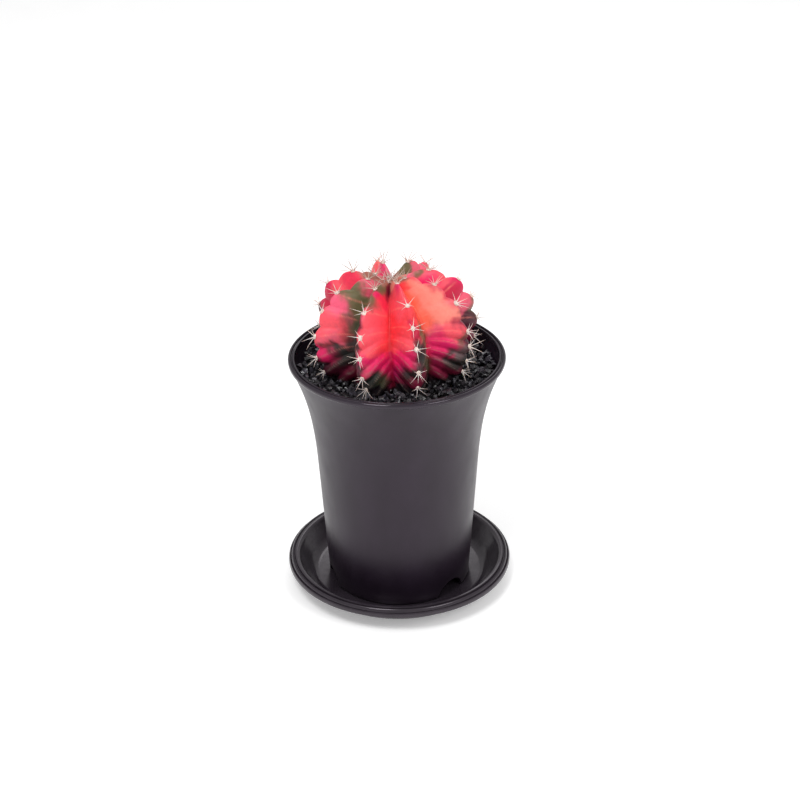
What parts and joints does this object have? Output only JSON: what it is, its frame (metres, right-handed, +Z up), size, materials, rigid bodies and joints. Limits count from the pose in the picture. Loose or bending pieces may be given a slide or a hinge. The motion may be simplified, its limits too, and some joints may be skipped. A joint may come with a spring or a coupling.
{
  "type": "potted round cactus",
  "caption": "Ribbed globe cactus with spine stars on its ribs, planted in black crushed stone in a flared plastic pot with arched drain notches, standing in a ridged saucer.",
  "frame": {"origin": "on the table under the axis of the pot and saucer, at the middle of the saucer's foot ring", "axes": "+Z up along the pot's axis; -Y is the front, with the widest lit pair of ribs; +X is the right of that view"},
  "size_m": [0.0962, 0.0962, 0.1472],
  "materials": {
    "pot_plastic": "satin",
    "saucer_plastic": "gloss",
    "potting_mix": "matte",
    "black_stone": "satin",
    "cactus_skin": "satin",
    "spine": "satin"
  },
  "bodies": {
    "root": {"cactus_body": "cactus_skin", "gravel_dressing": "black_stone", "pot": "pot_plastic", "potting_mix": "potting_mix", "saucer": "saucer_plastic", "spines_rib1_1": "spine", "spines_rib1_2": "spine", "spines_rib1_3": "spine", "spines_rib1_4": "spine", "spines_rib1_5": "spine", "spines_rib1_6": "spine", "spines_rib2_1": "spine", "spines_rib2_2": "spine", "spines_rib2_3": "spine", "spines_rib2_4": "spine", "spines_rib2_5": "spine", "spines_rib2_6": "spine", "spines_rib3_1": "spine", "spines_rib3_2": "spine", "spines_rib3_3": "spine", "spines_rib3_4": "spine", "spines_rib3_5": "spine", "spines_rib3_6": "spine", "spines_rib4_1": "spine", "spines_rib4_2": "spine", "spines_rib4_3": "spine", "spines_rib4_4": "spine", "spines_rib4_5": "spine", "spines_rib4_6": "spine", "spines_rib4_7": "spine", "spines_rib5_1": "spine", "spines_rib5_2": "spine", "spines_rib5_3": "spine", "spines_rib5_4": "spine", "spines_rib5_5": "spine", "spines_rib5_6": "spine", "spines_rib6_1": "spine", "spines_rib6_2": "spine", "spines_rib6_3": "spine", "spines_rib6_4": "spine", "spines_rib6_5": "spine", "spines_rib6_6": "spine", "spines_rib7_1": "spine", "spines_rib7_2": "spine", "spines_rib7_3": "spine", "spines_rib7_4": "spine", "spines_rib7_5": "spine", "spines_rib7_6": "spine", "spines_rib8_1": "spine", "spines_rib8_2": "spine", "spines_rib8_3": "spine", "spines_rib8_4": "spine", "spines_rib8_5": "spine", "spines_rib8_6": "spine"}
  },
  "joints": []
}
